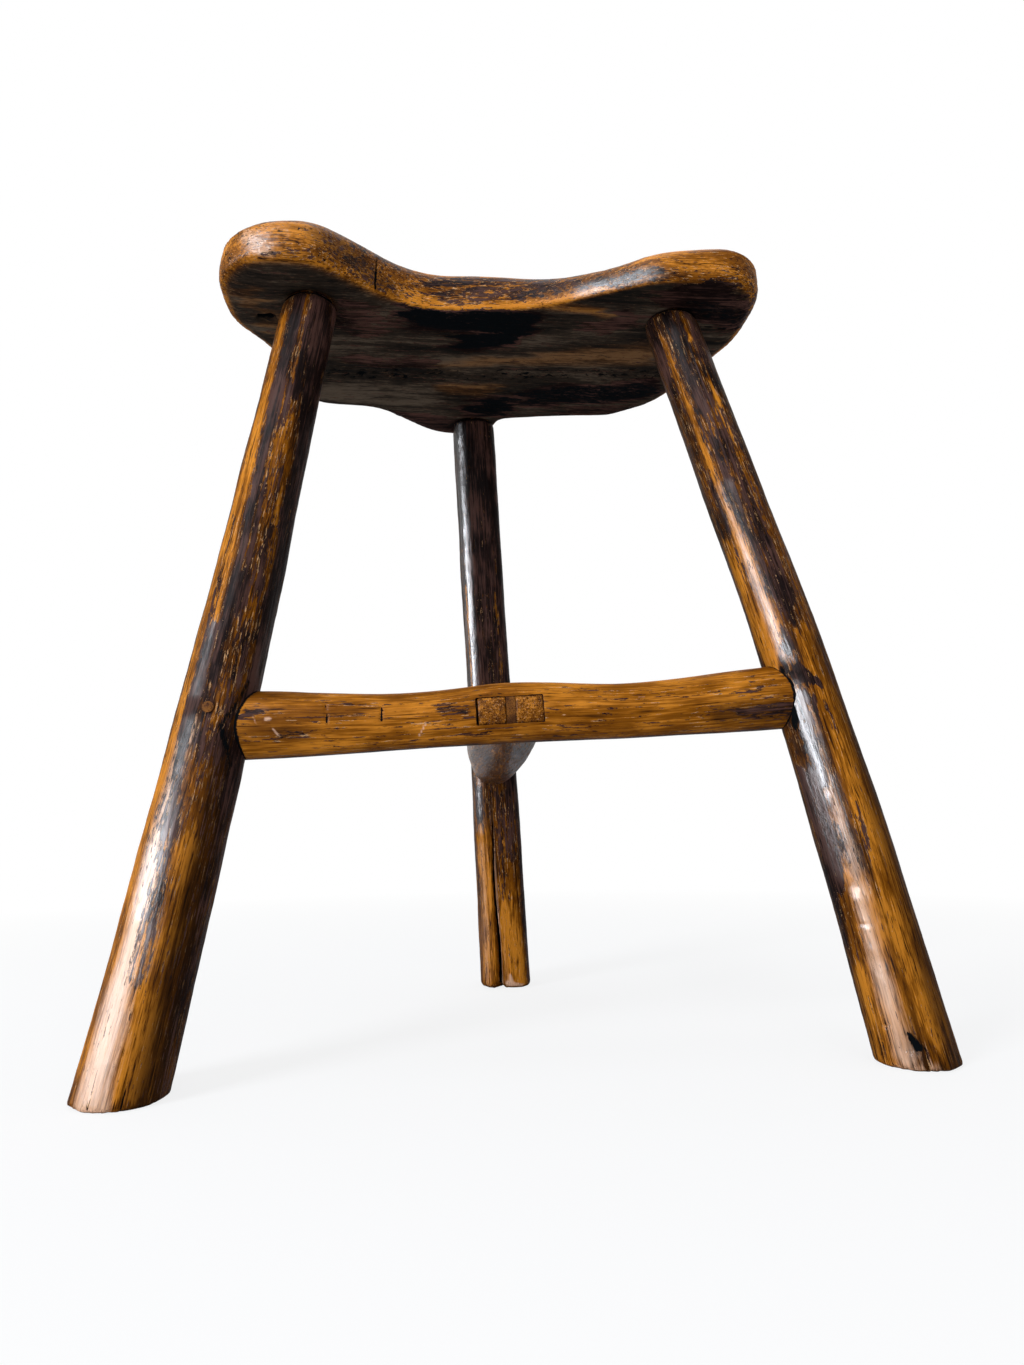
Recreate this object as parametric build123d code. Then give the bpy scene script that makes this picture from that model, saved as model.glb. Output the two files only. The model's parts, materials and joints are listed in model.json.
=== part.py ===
from build123d import *
import os

# Three-legged stool: a hewn saddle seat with a butterfly outline stands on three
# splayed poles. A bowed stretcher joins the two front legs, and a tie runs from the
# middle of that stretcher back to the rear leg. All lengths are in millimetres.
# X runs from the left leg to the right leg, Y from the front to the back, Z up.

# Stance of the legs on the floor
front_foot_spread = 405.0
rear_foot_back = 267.5
rear_foot_right = 9.4
bend_height = 171.0
bend_ease = 130.0
seat_underside = 456.5

# How far each leg has leaned away from its foot, at the bend and under the seat
left_bend_in = 30.2
left_bend_back = 19.8
left_top_in = 72.8
left_top_back = 53.7
right_bend_in = 27.2
right_bend_back = 18.3
right_top_in = 96.6
right_top_back = 52.8
rear_bend_left = 8.9
rear_bend_forward = 20.3
rear_top_left = 25.7
rear_top_forward = 54.4

# Half thickness of the poles at the foot, at the bend and under the seat
left_foot_radius = 22.3
left_bend_radius = 20.6
left_top_radius = 16.9
right_foot_radius = 21.6
right_bend_radius = 19.6
right_top_radius = 17.4
rear_foot_half = 19.8
rear_bend_half = 17.6
rear_top_half = 16.7
rear_corner_share = 0.62
foot_round = 1.6
shoulder_round = 3.0

# Seat blank: how far it reaches past the legs under it, and its thickness
seat_left_overhang = 55.4
seat_right_overhang = 55.2
seat_front_overhang = 43.8
seat_rear_overhang = 20.9
rear_lobe_width = 64.0
left_lobe_thickness = 36.9
left_end_thickness = 15.0
waist_thickness = 37.8
middle_thickness = 34.6
thin_thickness = 27.0
right_lobe_thickness = 31.8
right_end_thickness = 27.0
dish_depth = 5.0
seat_top_round = 17.0
seat_bottom_round = 4.0

# Leg tenons through the seat, with a wedge driven into each from above
seat_tenon_radius = 12.0
seat_wedge_thick = 3.2
seat_wedge_tip = 1.2
seat_wedge_depth = 18.0

# Front stretcher: height of its axis at each leg, and how far it sags between them
stretcher_left_height = 182.5
stretcher_right_height = 200.0
shoulder_sag = 1.2
left_waist_sag = 3.1
middle_sag = 1.5
right_waist_sag = 3.7
stretcher_end_half_height = 19.2
stretcher_waist_half_height = 15.7
stretcher_middle_half_height = 17.2
stretcher_end_half_depth = 14.6
stretcher_waist_half_depth = 14.2
stretcher_middle_half_depth = 15.2

# Tie from the front stretcher to the rear leg
tie_front_half_width = 20.6
tie_neck_half_width = 20.0
tie_rear_half_width = 16.2
tie_front_half_height = 16.4
tie_neck_half_height = 17.4
tie_rear_half_height = 16.6
tie_rear_height = 175.5

# Blind tenons of the stretcher and of the tie in the legs
leg_tenon_thick = 12.0
leg_tenon_height = 26.0
leg_tenon_past_axis = 6.0
leg_tenon_rise = 2.0
leg_tenon_root = 6.0
mortise_end_gap = 0.6

# Through tenon of the tie, seen on the front of the stretcher, and its wedge
through_tenon_width = 36.5
through_tenon_height = 15.0
through_tenon_tilt = 3.0
through_tenon_slack = 0.9
through_wedge_thick = 5.2
through_wedge_tip = 2.0
through_wedge_depth = 22.0

# Pegs that hold the blind tenons
peg_radius = 3.0
peg_rise = 6.0
peg_past_axis = 12.0

# Old drying split in the front of the rear foot
split_height = 152.0
split_left = 2.0
split_foot_width = 5.0
split_foot_depth = 9.0
split_top_width = 1.2
split_top_depth = 1.5

# Fit between pieces, and how far a cutting shape runs past what it cuts
fit_clearance = 0.15
overrun = 10.0

# Shares of a leg's height where its round sections stand
leg_section_shares = [0.0, 0.12, 0.24, 0.36, 0.48, 0.6, 0.8, 1.0]

# The seat's corners are rounded in shares of its depth, or of this share of its width if
# that is less, and the rounding of its top edge stays under the second share of the same
corner_width_share = 0.65
top_round_share = 0.078

# Corners of the seat's outline: shares of its width, from left, and of its depth, from
# front, with the share that each corner is rounded to
front_corner_shares = [
    (-0.002, 0.310, 0.180),
    (0.002, 0.002, 0.178),
    (0.176, 0.002, 0.180),
    (0.352, 0.198, 0.270),
    (0.574, 0.162, 0.533),
    (0.792, 0.002, 0.267),
    (0.998, 0.000, 0.142),
    (0.996, 0.300, 0.200),
    (0.895, 0.752, 0.220),
]
back_left_corner_shares = [
    (0.106, 0.803, 0.105),
    (0.061, 0.440, 0.267),
]
# Corners of the rear lobe: shares of its width, from the rear leg, then as above
rear_lobe_corner_shares = [
    (0.330, 0.862, 0.040),
    (0.275, 1.000, 0.088),
    (-0.540, 0.998, 0.200),
    (-1.220, 0.803, 0.165),
]

# Where along the seat's width its thickness is given
thickness_place_shares = [-0.06, 0.15, 0.36, 0.54, 0.72, 0.87, 1.06]
# Where along the stretcher its shoulders, waists and middle lie, and how much of the
# ends' extra thickness a shoulder keeps
shoulder_share = 0.09
shoulder_keep_share = 0.8
left_waist_share = 0.32
middle_share = 0.478
right_waist_share = 0.68
# Where along the tie it starts to narrow towards the rear leg
tie_neck_share = 0.78


def bent(z, at_foot, at_bend, at_top):
    """Value at height z of two straight runs that meet in an eased bend."""
    low_slope = (at_bend - at_foot) / bend_height
    high_slope = (at_top - at_bend) / (seat_underside - bend_height)
    past = z - bend_height
    slope = high_slope if past > 0 else low_slope
    reach = max(bend_ease - abs(past), 0)
    return at_bend + slope * past + (high_slope - low_slope) * reach**2 / (4 * bend_ease)


class Pole:
    """A leg: its axis and half thickness at any height."""

    def __init__(self, foot, bend, top, half):
        self.foot = foot
        self.bend = bend
        self.top = top
        self.half = half

    def axis(self, z):
        x = bent(z, self.foot[0], self.bend[0], self.top[0])
        y = bent(z, self.foot[1], self.bend[1], self.top[1])
        return Vector(x, y, z)

    def half_at(self, z):
        return bent(z, *self.half)


left_foot_x = -front_foot_spread / 2
right_foot_x = front_foot_spread / 2
left_pole = Pole(
    (left_foot_x, 0),
    (left_foot_x + left_bend_in, left_bend_back),
    (left_foot_x + left_top_in, left_top_back),
    (left_foot_radius, left_bend_radius, left_top_radius),
)
right_pole = Pole(
    (right_foot_x, 0),
    (right_foot_x - right_bend_in, right_bend_back),
    (right_foot_x - right_top_in, right_top_back),
    (right_foot_radius, right_bend_radius, right_top_radius),
)
rear_pole = Pole(
    (rear_foot_right, rear_foot_back),
    (rear_foot_right - rear_bend_left, rear_foot_back - rear_bend_forward),
    (rear_foot_right - rear_top_left, rear_foot_back - rear_top_forward),
    (rear_foot_half, rear_bend_half, rear_top_half),
)


def round_section(half):
    return Circle(half)


def squared_section(half):
    return RectangleRounded(half * 2, half * 2, half * rear_corner_share)


def pole_body(pole, section, grow=0.0):
    """The pole from floor to seat underside, thickened by grow all round."""
    sections = []
    for share in leg_section_shares:
        z = seat_underside * share
        sections.append(Pos(pole.axis(z)) * section(pole.half_at(z) + grow))
    return loft(sections)


def rounded_pole(pole, section):
    """The pole with its foot and its shoulder under the seat eased."""
    body = pole_body(pole, section)
    foot_edges = body.edges().group_by(Axis.Z)[0]
    body = fillet(foot_edges, foot_round)
    shoulder_edges = body.edges().group_by(Axis.Z)[-1]
    return fillet(shoulder_edges, shoulder_round)


# Seat blank
seat_left = left_pole.top[0] - seat_left_overhang
seat_right = right_pole.top[0] + seat_right_overhang
seat_front = min(left_pole.top[1], right_pole.top[1]) - seat_front_overhang
seat_back = rear_pole.top[1] + seat_rear_overhang
seat_width = seat_right - seat_left
seat_depth = seat_back - seat_front
corner_basis = min(seat_depth, seat_width * corner_width_share)
thickest = max(left_lobe_thickness, right_lobe_thickness)


def seat_outline():
    corners = []
    for x_share, y_share, round_share in front_corner_shares:
        corners.append((seat_left + x_share * seat_width, y_share, round_share))
    for x_share, y_share, round_share in rear_lobe_corner_shares:
        corners.append((rear_pole.top[0] + x_share * rear_lobe_width, y_share, round_share))
    for x_share, y_share, round_share in back_left_corner_shares:
        corners.append((seat_left + x_share * seat_width, y_share, round_share))
    points = [(x, seat_front + y_share * seat_depth) for x, y_share, round_share in corners]
    radii = [round_share * corner_basis for x, y_share, round_share in corners]
    return make_face(FilletPolyline(*points, radius=radii, close=True))


def above_seat(y, deeper):
    """Section, across the seat at y, of the space above its dished top."""
    thicknesses = [
        left_end_thickness,
        left_lobe_thickness,
        waist_thickness,
        middle_thickness,
        thin_thickness,
        right_lobe_thickness,
        right_end_thickness,
    ]
    profile = []
    for share, thickness in zip(thickness_place_shares, thicknesses):
        scoop = deeper * 4 * share * (1 - share)
        profile.append((seat_left + share * seat_width, y, seat_underside + thickness - scoop))
    first, last = profile[0], profile[-1]
    top_z = seat_underside + thickest + overrun
    low_left = (first[0] - overrun, y, first[2])
    low_right = (last[0] + overrun, y, last[2])
    high_left = (first[0] - overrun, y, top_z)
    high_right = (last[0] + overrun, y, top_z)
    dished = Spline(*profile)
    rest = Polyline(last, low_right, high_right, high_left, low_left, first)
    return make_face(Wire([*dished.edges(), *rest.edges()]))


def seat_blank():
    slab = Pos(0, 0, seat_underside) * extrude(seat_outline(), thickest + overrun)
    middle = (seat_front + seat_back) / 2
    scoop = loft(
        [
            above_seat(seat_front - overrun, 0),
            above_seat(middle, dish_depth),
            above_seat(seat_back + overrun, 0),
        ]
    )
    blank = slab - scoop
    top_face = blank.faces().sort_by(Axis.Z)[-1]
    blank = fillet(top_face.edges(), min(seat_top_round, corner_basis * top_round_share))
    bottom_face = blank.faces().sort_by(Axis.Z)[0]
    return fillet(bottom_face.edges(), seat_bottom_round)


blank = seat_blank()


def seat_tenon_bore(pole, grow=0.0):
    """Slanted round bore along the leg's axis, through the whole seat."""
    low = seat_underside - overrun
    high = seat_underside + thickest + overrun
    lean = (pole.axis(seat_underside) - pole.axis(bend_height)) / (seat_underside - bend_height)
    centre = pole.axis(seat_underside)
    ends = []
    for z in (low, high):
        ends.append(Pos(centre + lean * (z - seat_underside)) * Circle(seat_tenon_radius + grow))
    return loft(ends, ruled=True)


def taper(thick, tip, depth, wide, grow=0.0):
    """Wedge: its thick end at z = 0, its tip at z = -depth, across Y."""
    past = overrun
    slope = (thick - tip) / 2 / depth
    half_top = thick / 2 + slope * past + grow
    half_tip = tip / 2 + grow
    outline = Polyline(
        (-half_top, past),
        (half_top, past),
        (half_tip, -depth - grow),
        (-half_tip, -depth - grow),
        close=True,
    )
    section = Plane.XZ * make_face(outline)
    return extrude(section, wide / 2, both=True)


def seat_wedge_place(pole):
    """The frame of the wedge in a leg's tenon, on the seat's top over the leg."""
    bore = seat_tenon_bore(pole) & blank
    top = bore.bounding_box().max.Z
    lean = (pole.axis(seat_underside) - pole.axis(bend_height)) / (seat_underside - bend_height)
    centre = pole.axis(seat_underside) + lean * (top - seat_underside)
    return Pos(centre)


def seat_wedge_shape(pole, grow=0.0):
    wide = seat_tenon_radius * 2 + overrun
    shape = taper(seat_wedge_thick, seat_wedge_tip, seat_wedge_depth, wide, grow)
    return seat_wedge_place(pole) * shape


# Front stretcher
left_joint = left_pole.axis(stretcher_left_height)
right_joint = right_pole.axis(stretcher_right_height)
stretcher_run = right_joint - left_joint


def stretcher_axis(share, sag):
    point = left_joint + stretcher_run * share
    return Vector(point.X, point.Y, point.Z - sag)


def stretcher_body(grow=0.0):
    end = (stretcher_end_half_depth, stretcher_end_half_height)
    waist = (stretcher_waist_half_depth, stretcher_waist_half_height)
    middle = (stretcher_middle_half_depth, stretcher_middle_half_height)
    shoulder = [w + (e - w) * shoulder_keep_share for e, w in zip(end, waist)]
    stations = [
        (0.0, 0.0, *end),
        (shoulder_share, shoulder_sag, *shoulder),
        (left_waist_share, left_waist_sag, *waist),
        (middle_share, middle_sag, *middle),
        (right_waist_share, right_waist_sag, *waist),
        (1.0 - shoulder_share, shoulder_sag, *shoulder),
        (1.0, 0.0, *end),
    ]
    sections = []
    for share, sag, half_depth, half_height in stations:
        plane = Plane(origin=stretcher_axis(share, sag), x_dir=(0, 1, 0), z_dir=(1, 0, 0))
        sections.append(plane * Ellipse(half_depth + grow, half_height + grow))
    return loft(sections)


middle_point = stretcher_axis(middle_share, middle_sag)
tie_rear_joint = rear_pole.axis(tie_rear_height)


def tie_body():
    """The tie from the axis of the stretcher to the axis of the rear leg."""
    neck_point = middle_point + (tie_rear_joint - middle_point) * tie_neck_share
    stations = [
        (middle_point, tie_front_half_width, tie_front_half_height),
        (neck_point, tie_neck_half_width, tie_neck_half_height),
        (tie_rear_joint, tie_rear_half_width, tie_rear_half_height),
    ]
    sections = []
    for point, half_width, half_height in stations:
        plane = Plane(origin=point, x_dir=(-1, 0, 0), z_dir=(0, 1, 0))
        sections.append(plane * Ellipse(half_width, half_height))
    return loft(sections)


def leg_tenon(pole, height, towards, past, grow=0.0, end_gap=0.0):
    """Upright tenon at a leg, from past its axis out in the direction towards."""
    root = pole.half_at(height) + leg_tenon_root
    length = root + past + end_gap
    centre = pole.axis(height + leg_tenon_rise) + towards * (root - past - end_gap) * 0.5
    thick = leg_tenon_thick + grow * 2
    tall = leg_tenon_height + grow * 2
    if abs(towards.X) > abs(towards.Y):
        return Pos(centre) * Box(length, thick, tall)
    return Pos(centre) * Box(thick, length, tall)


def through_tenon_block(grow=0.0, slack=0.0):
    """The flat tenon of the tie, running past the stretcher in front and behind."""
    length = (stretcher_middle_half_depth + overrun) * 2
    wide = through_tenon_width + grow * 2 + slack
    block = Pos(-slack / 2, 0, 0) * Box(wide, length, through_tenon_height + grow * 2)
    return Pos(middle_point) * Rot(0, -through_tenon_tilt, 0) * block


def through_tenon():
    """The tenon cut flush with the front of the stretcher."""
    length = stretcher_middle_half_depth + overrun
    root = Pos(0, length / 2, 0) * Box(through_tenon_width, length, through_tenon_height)
    flush_end = through_tenon_block() & stretcher_body()
    return flush_end + Pos(middle_point) * Rot(0, -through_tenon_tilt, 0) * root


def through_wedge_shape(grow=0.0):
    """Upright wedge driven into the through tenon from the front."""
    wide = through_tenon_height + overrun if grow else through_tenon_height - fit_clearance * 2
    shape = taper(through_wedge_thick, through_wedge_tip, through_wedge_depth, wide, grow)
    front = middle_point - Vector(0, stretcher_middle_half_depth, 0)
    turned = Rot(0, -through_tenon_tilt, 0) * Rot(90, 0, 0) * shape
    return Pos(front) * turned


def peg(pole, height, towards, grow=0.0):
    """Peg hole from outside the leg, on the side towards, to past its axis."""
    reach = max(pole.half) + overrun
    length = reach + peg_past_axis + grow
    centre = pole.axis(height + leg_tenon_rise + peg_rise)
    middle = centre + towards * (reach - peg_past_axis - grow) * 0.5
    plane = Plane(origin=middle, z_dir=towards)
    return plane * Cylinder(peg_radius + grow, length)


def foot_split():
    """Tapering split down the front of the rear leg, to its foot."""
    ends = []
    stations = [
        (0.0, split_foot_width, split_foot_depth),
        (split_height, split_top_width, split_top_depth),
    ]
    for z, wide, deep in stations:
        front = rear_pole.axis(z) - Vector(split_left, rear_pole.half_at(z), 0)
        outside = front.Y - overrun
        flare = wide / 2 * (deep + overrun) / deep
        low = z - overrun if z == 0 else z
        outline = Polyline(
            (front.X - flare, outside, low),
            (front.X + flare, outside, low),
            (front.X, front.Y + deep, low),
            close=True,
        )
        ends.append(make_face(outline))
    return loft(ends, ruled=True)


to_right = Vector(1, 0, 0)
to_left = Vector(-1, 0, 0)
to_front = Vector(0, -1, 0)
to_back = Vector(0, 1, 0)

# Each leg: its pole, section, blind tenon height, and the sides of tenon and peg
leg_joints = {
    "front_left_leg": (left_pole, round_section, stretcher_left_height, to_right, to_front),
    "front_right_leg": (right_pole, round_section, stretcher_right_height, to_left, to_back),
    "rear_leg": (rear_pole, squared_section, tie_rear_height, to_front, to_right),
}


def leg(name):
    pole, section, height, towards, peg_side = leg_joints[name]
    tenon_in_seat = seat_tenon_bore(pole) & blank
    body = rounded_pole(pole, section) + tenon_in_seat
    body -= seat_wedge_shape(pole, fit_clearance)
    body -= leg_tenon(pole, height, towards, leg_tenon_past_axis, fit_clearance, mortise_end_gap)
    body -= peg(pole, height, peg_side, fit_clearance)
    if name == "rear_leg":
        body -= foot_split()
    return body


def leg_peg(name):
    pole, section, height, towards, peg_side = leg_joints[name]
    return peg(pole, height, peg_side) & pole_body(pole, section)


def seat_wedge(name):
    pole = leg_joints[name][0]
    return seat_wedge_shape(pole) & (seat_tenon_bore(pole) & blank)


def seat():
    body = blank
    for pole in (left_pole, right_pole, rear_pole):
        body -= seat_tenon_bore(pole, fit_clearance)
    return body


def front_stretcher():
    body = stretcher_body()
    for name in ("front_left_leg", "front_right_leg"):
        pole, section, height, towards, peg_side = leg_joints[name]
        body -= pole_body(pole, section, fit_clearance)
        body += leg_tenon(pole, height, towards, leg_tenon_past_axis)
        body -= peg(pole, height, peg_side, fit_clearance)
    return body - through_tenon_block(fit_clearance, through_tenon_slack)


def rear_tie():
    pole, section, height, towards, peg_side = leg_joints["rear_leg"]
    body = tie_body()
    body -= stretcher_body(fit_clearance)
    body -= pole_body(pole, section, fit_clearance)
    body += through_tenon()
    body += leg_tenon(pole, height, towards, leg_tenon_past_axis)
    body -= peg(pole, height, peg_side, fit_clearance)
    return body - through_wedge_shape(fit_clearance)


def through_wedge():
    return through_wedge_shape() & through_tenon()


pieces = {
    "seat": seat(),
    "front_left_leg": leg("front_left_leg"),
    "front_right_leg": leg("front_right_leg"),
    "rear_leg": leg("rear_leg"),
    "front_stretcher": front_stretcher(),
    "rear_tie": rear_tie(),
    "through_tenon_wedge": through_wedge(),
    "front_left_seat_wedge": seat_wedge("front_left_leg"),
    "front_right_seat_wedge": seat_wedge("front_right_leg"),
    "rear_seat_wedge": seat_wedge("rear_leg"),
    "front_left_peg": leg_peg("front_left_leg"),
    "front_right_peg": leg_peg("front_right_leg"),
    "rear_peg": leg_peg("rear_leg"),
}

# The origin goes to the middle of the stool's outer box, on the floor
whole = Compound(children=[Compound(list(piece.solids())) for piece in pieces.values()])
box = whole.bounding_box()
to_origin = Pos(-(box.min.X + box.max.X) / 2, -(box.min.Y + box.max.Y) / 2, -box.min.Z)

os.makedirs("parts", exist_ok=True)
for name, piece in pieces.items():
    placed = to_origin * Compound(list(piece.solids()))
    export_step(placed, "parts/" + name + ".step")
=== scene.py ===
import json
import math
import bpy
import bmesh
import numpy as np
from mathutils import Matrix, Vector, noise


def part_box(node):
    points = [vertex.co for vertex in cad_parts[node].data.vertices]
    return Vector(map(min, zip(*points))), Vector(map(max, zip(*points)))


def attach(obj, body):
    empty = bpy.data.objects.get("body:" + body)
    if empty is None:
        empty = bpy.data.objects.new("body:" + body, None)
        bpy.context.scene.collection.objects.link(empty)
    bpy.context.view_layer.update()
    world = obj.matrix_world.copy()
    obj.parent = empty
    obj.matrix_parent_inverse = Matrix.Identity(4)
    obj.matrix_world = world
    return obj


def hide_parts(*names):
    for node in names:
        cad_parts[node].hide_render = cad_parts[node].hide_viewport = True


# A worn three-legged stool. Sizes are in millimetres, measured from the point midway
# between the two front feet: x to the right, y to the back, z up.

mm = 0.001
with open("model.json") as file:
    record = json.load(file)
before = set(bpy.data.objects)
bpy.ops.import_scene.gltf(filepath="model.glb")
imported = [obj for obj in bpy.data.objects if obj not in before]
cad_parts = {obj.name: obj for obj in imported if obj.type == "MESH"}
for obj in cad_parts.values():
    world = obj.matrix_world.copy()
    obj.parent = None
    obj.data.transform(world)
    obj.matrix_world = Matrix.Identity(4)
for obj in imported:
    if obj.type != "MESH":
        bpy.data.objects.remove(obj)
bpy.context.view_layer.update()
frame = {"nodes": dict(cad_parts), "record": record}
mounts = {mount["name"]: Vector(mount["pos_m"]) / mm for mount in frame["record"]["mounts"]}
origin = (mounts["front_left_foot"] + mounts["front_right_foot"]) / 2
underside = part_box("seat")[0].z / mm
print("frame loaded, seat underside at", round(underside, 1), "mm")


# Shaping: noise, brush strokes and curves over all the points of a piece at once

seedStep = 7.31  # how far apart the seeds read the noise
octaveFade = 0.7  # how much weaker each finer octave is
octaveStep = 2.0  # how much finer each octave is


def lumps(points, size, seed, octaves=2):
    # soft noise from about -1 to 1, its lumps size mm wide along x, y and z
    scaled = points / np.array(size) + seed * seedStep
    return np.array([noise.fractal(Vector(p), octaveFade, octaveStep, octaves) for p in scaled])


def raised(points, height, size, seed, octaves=2):
    # the same noise, height high
    return height * lumps(points, size, seed, octaves)


def marked(piece, name, across, along):
    # the strongest of a piece's brush strokes of one name; where the piece has a half width,
    # they are given by angle and laid on its unrolled skin
    around = math.radians(1) * piece["halfWidth"] if piece["halfWidth"] else 1
    soft, *marks = piece[name]
    field = np.zeros(len(across))
    for strength, *path in marks:
        for i in range(0, len(path) - 3, 3):
            a0, b0, wide0, a1, b1, wide1 = path[i:i + 6]
            a0 *= around
            da, db = a1 * around - a0, b1 - b0
            share = ((across - a0) * da + (along - b0) * db) / max(da * da + db * db, 1e-6)
            share = np.clip(share, 0, 1)
            away = np.hypot(across - a0 - da * share, along - b0 - db * share)
            edge = np.clip((wide0 + (wide1 - wide0) * share + soft - away) / (2 * soft), 0, 1)
            field = np.maximum(field, strength * edge * edge * (3 - 2 * edge))
    return field


def most(*layers):
    # the strongest of some layers, point by point
    return np.maximum.reduce(layers)


def curveThrough(share, places, values):
    # a smooth curve through values given at some places
    places, values = np.array(places, float), np.array(values, float)
    slopes = np.gradient(values, places)
    i = np.clip(np.searchsorted(places, share) - 1, 0, len(places) - 2)
    gap = places[i + 1] - places[i]
    t = (share - places[i]) / gap
    start, end = values[i], values[i + 1]
    rise0, rise1 = slopes[i] * gap, slopes[i + 1] * gap
    return (
        start * (1 + 2 * t) * (1 - t) ** 2
        + rise0 * t * (1 - t) ** 2
        + end * t * t * (3 - 2 * t)
        + rise1 * t * t * (t - 1)
    )


def step(values, low, high):
    # 0 up to low, 1 from high on, and an eased rise between
    share = np.clip((values - low) / (high - low), 0, 1)
    return share * share * (3 - 2 * share)


# Meshes

def roundBlank(rings, sides):
    # a capped cylinder, 1 in radius and 1 high, with its sides cut into rings
    bm = bmesh.new()
    bmesh.ops.create_cone(bm, cap_ends=True, segments=sides, radius1=1, radius2=1, depth=1)
    uprights = [e for e in bm.edges if abs(e.verts[0].co.z - e.verts[1].co.z) > 0.5]
    bmesh.ops.subdivide_edges(bm, edges=uprights, cuts=rings, use_grid_fill=True)
    # rings on the end faces, as shares of the radius, narrow ones outside
    for inset in (0.06, 0.12, 0.2, 0.25):
        caps = [f for f in bm.faces if len(f.verts) > 4]
        bmesh.ops.inset_region(bm, faces=caps, thickness=inset, use_even_offset=True)
    return bm


def readAll(mesh, what):
    # "co" or "normal" of every vertex, one row each
    flat = np.zeros(len(mesh.vertices) * 3)
    mesh.vertices.foreach_get(what, flat)
    return flat.reshape(-1, 3)


def pointsOf(mesh):
    # a placed mesh's points, in mm from between the front feet
    return readAll(mesh, "co") / mm - np.array(origin)


def settle(mesh, points):
    # puts points given in mm from between the front feet back in their place
    placed = (points + np.array(origin)) * mm
    mesh.vertices.foreach_set("co", placed.ravel())
    mesh.update()


def meshFrom(bm, name):
    bmesh.ops.remove_doubles(bm, verts=bm.verts, dist=1e-7)
    bmesh.ops.recalc_face_normals(bm, faces=bm.faces)
    mesh = bpy.data.meshes.new(name)
    bm.to_mesh(mesh)
    bm.free()
    return mesh


def paint(mesh, grain, **fields):
    # grain holds each point in mm, with the wood's fibres along its third number
    layer = mesh.attributes.new("grain", "FLOAT_VECTOR", "POINT")
    layer.data.foreach_set("vector", grain.astype(np.float32).ravel())
    for name, values in fields.items():
        layer = mesh.attributes.new(name, "FLOAT", "POINT")
        layer.data.foreach_set("value", np.clip(values, 0, 1).astype(np.float32))


def inScene(name, data):
    made = bpy.data.objects.new(name, data)
    bpy.context.scene.collection.objects.link(made)
    return made


def addPiece(name, mesh, material, node):
    for polygon in mesh.polygons:
        polygon.use_smooth = True
    mesh.materials.append(material)
    piece = inScene(name, mesh)
    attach(piece, "root")
    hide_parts(node)
    print(name, "made,", len(mesh.polygons), "faces")


def solidCopy(node):
    # a merged copy of a CAD node's mesh, in a bmesh
    bm = bmesh.new()
    bm.from_mesh(frame["nodes"][node].data)
    bmesh.ops.remove_doubles(bm, verts=bm.verts, dist=0.00001)
    return bm


def modified(mesh, kind, settings):
    # the mesh with one modifier applied
    helper = inScene(mesh.name + "_helper", mesh)
    modifier = helper.modifiers.new(kind, kind)
    for name, value in settings.items():
        setattr(modifier, name, value)
    dependencies = bpy.context.evaluated_depsgraph_get()
    result = bpy.data.meshes.new_from_object(helper.evaluated_get(dependencies))
    bpy.data.objects.remove(helper)
    return result


def evenCopy(node, voxel, rounds):
    # a merged copy cut into even small faces, ready to be carved
    mesh = meshFrom(solidCopy(node), node + "_even")
    mesh = modified(mesh, "REMESH", {"mode": "VOXEL", "voxel_size": voxel * mm})
    return modified(mesh, "SMOOTH", {"factor": 0.5, "iterations": rounds})


# Materials

def linear(hexColour):
    # an sRGB hex colour as linear RGBA
    parts = [int(hexColour[i:i + 2], 16) / 255 for i in (1, 3, 5)]
    return [p / 12.92 if p <= 0.04045 else ((p + 0.055) / 1.055) ** 2.4 for p in parts] + [1]


def addNode(owner, kind, settings, inputs, output=0):
    # adds a node with its settings and links, and hands back one of its outputs
    node = owner.node_tree.nodes.new("ShaderNode" + kind)
    for name, value in settings.items():
        setattr(node, name, value)
    for name, value in inputs.items():
        if isinstance(value, bpy.types.NodeSocket):
            owner.node_tree.links.new(value, node.inputs[name])
        else:
            node.inputs[name].default_value = value
    return node.outputs[output] if node.outputs else node


def emptyMaterial(name):
    material = bpy.data.materials.new(name)
    material.use_nodes = True
    material.node_tree.nodes.clear()
    return material


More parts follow.
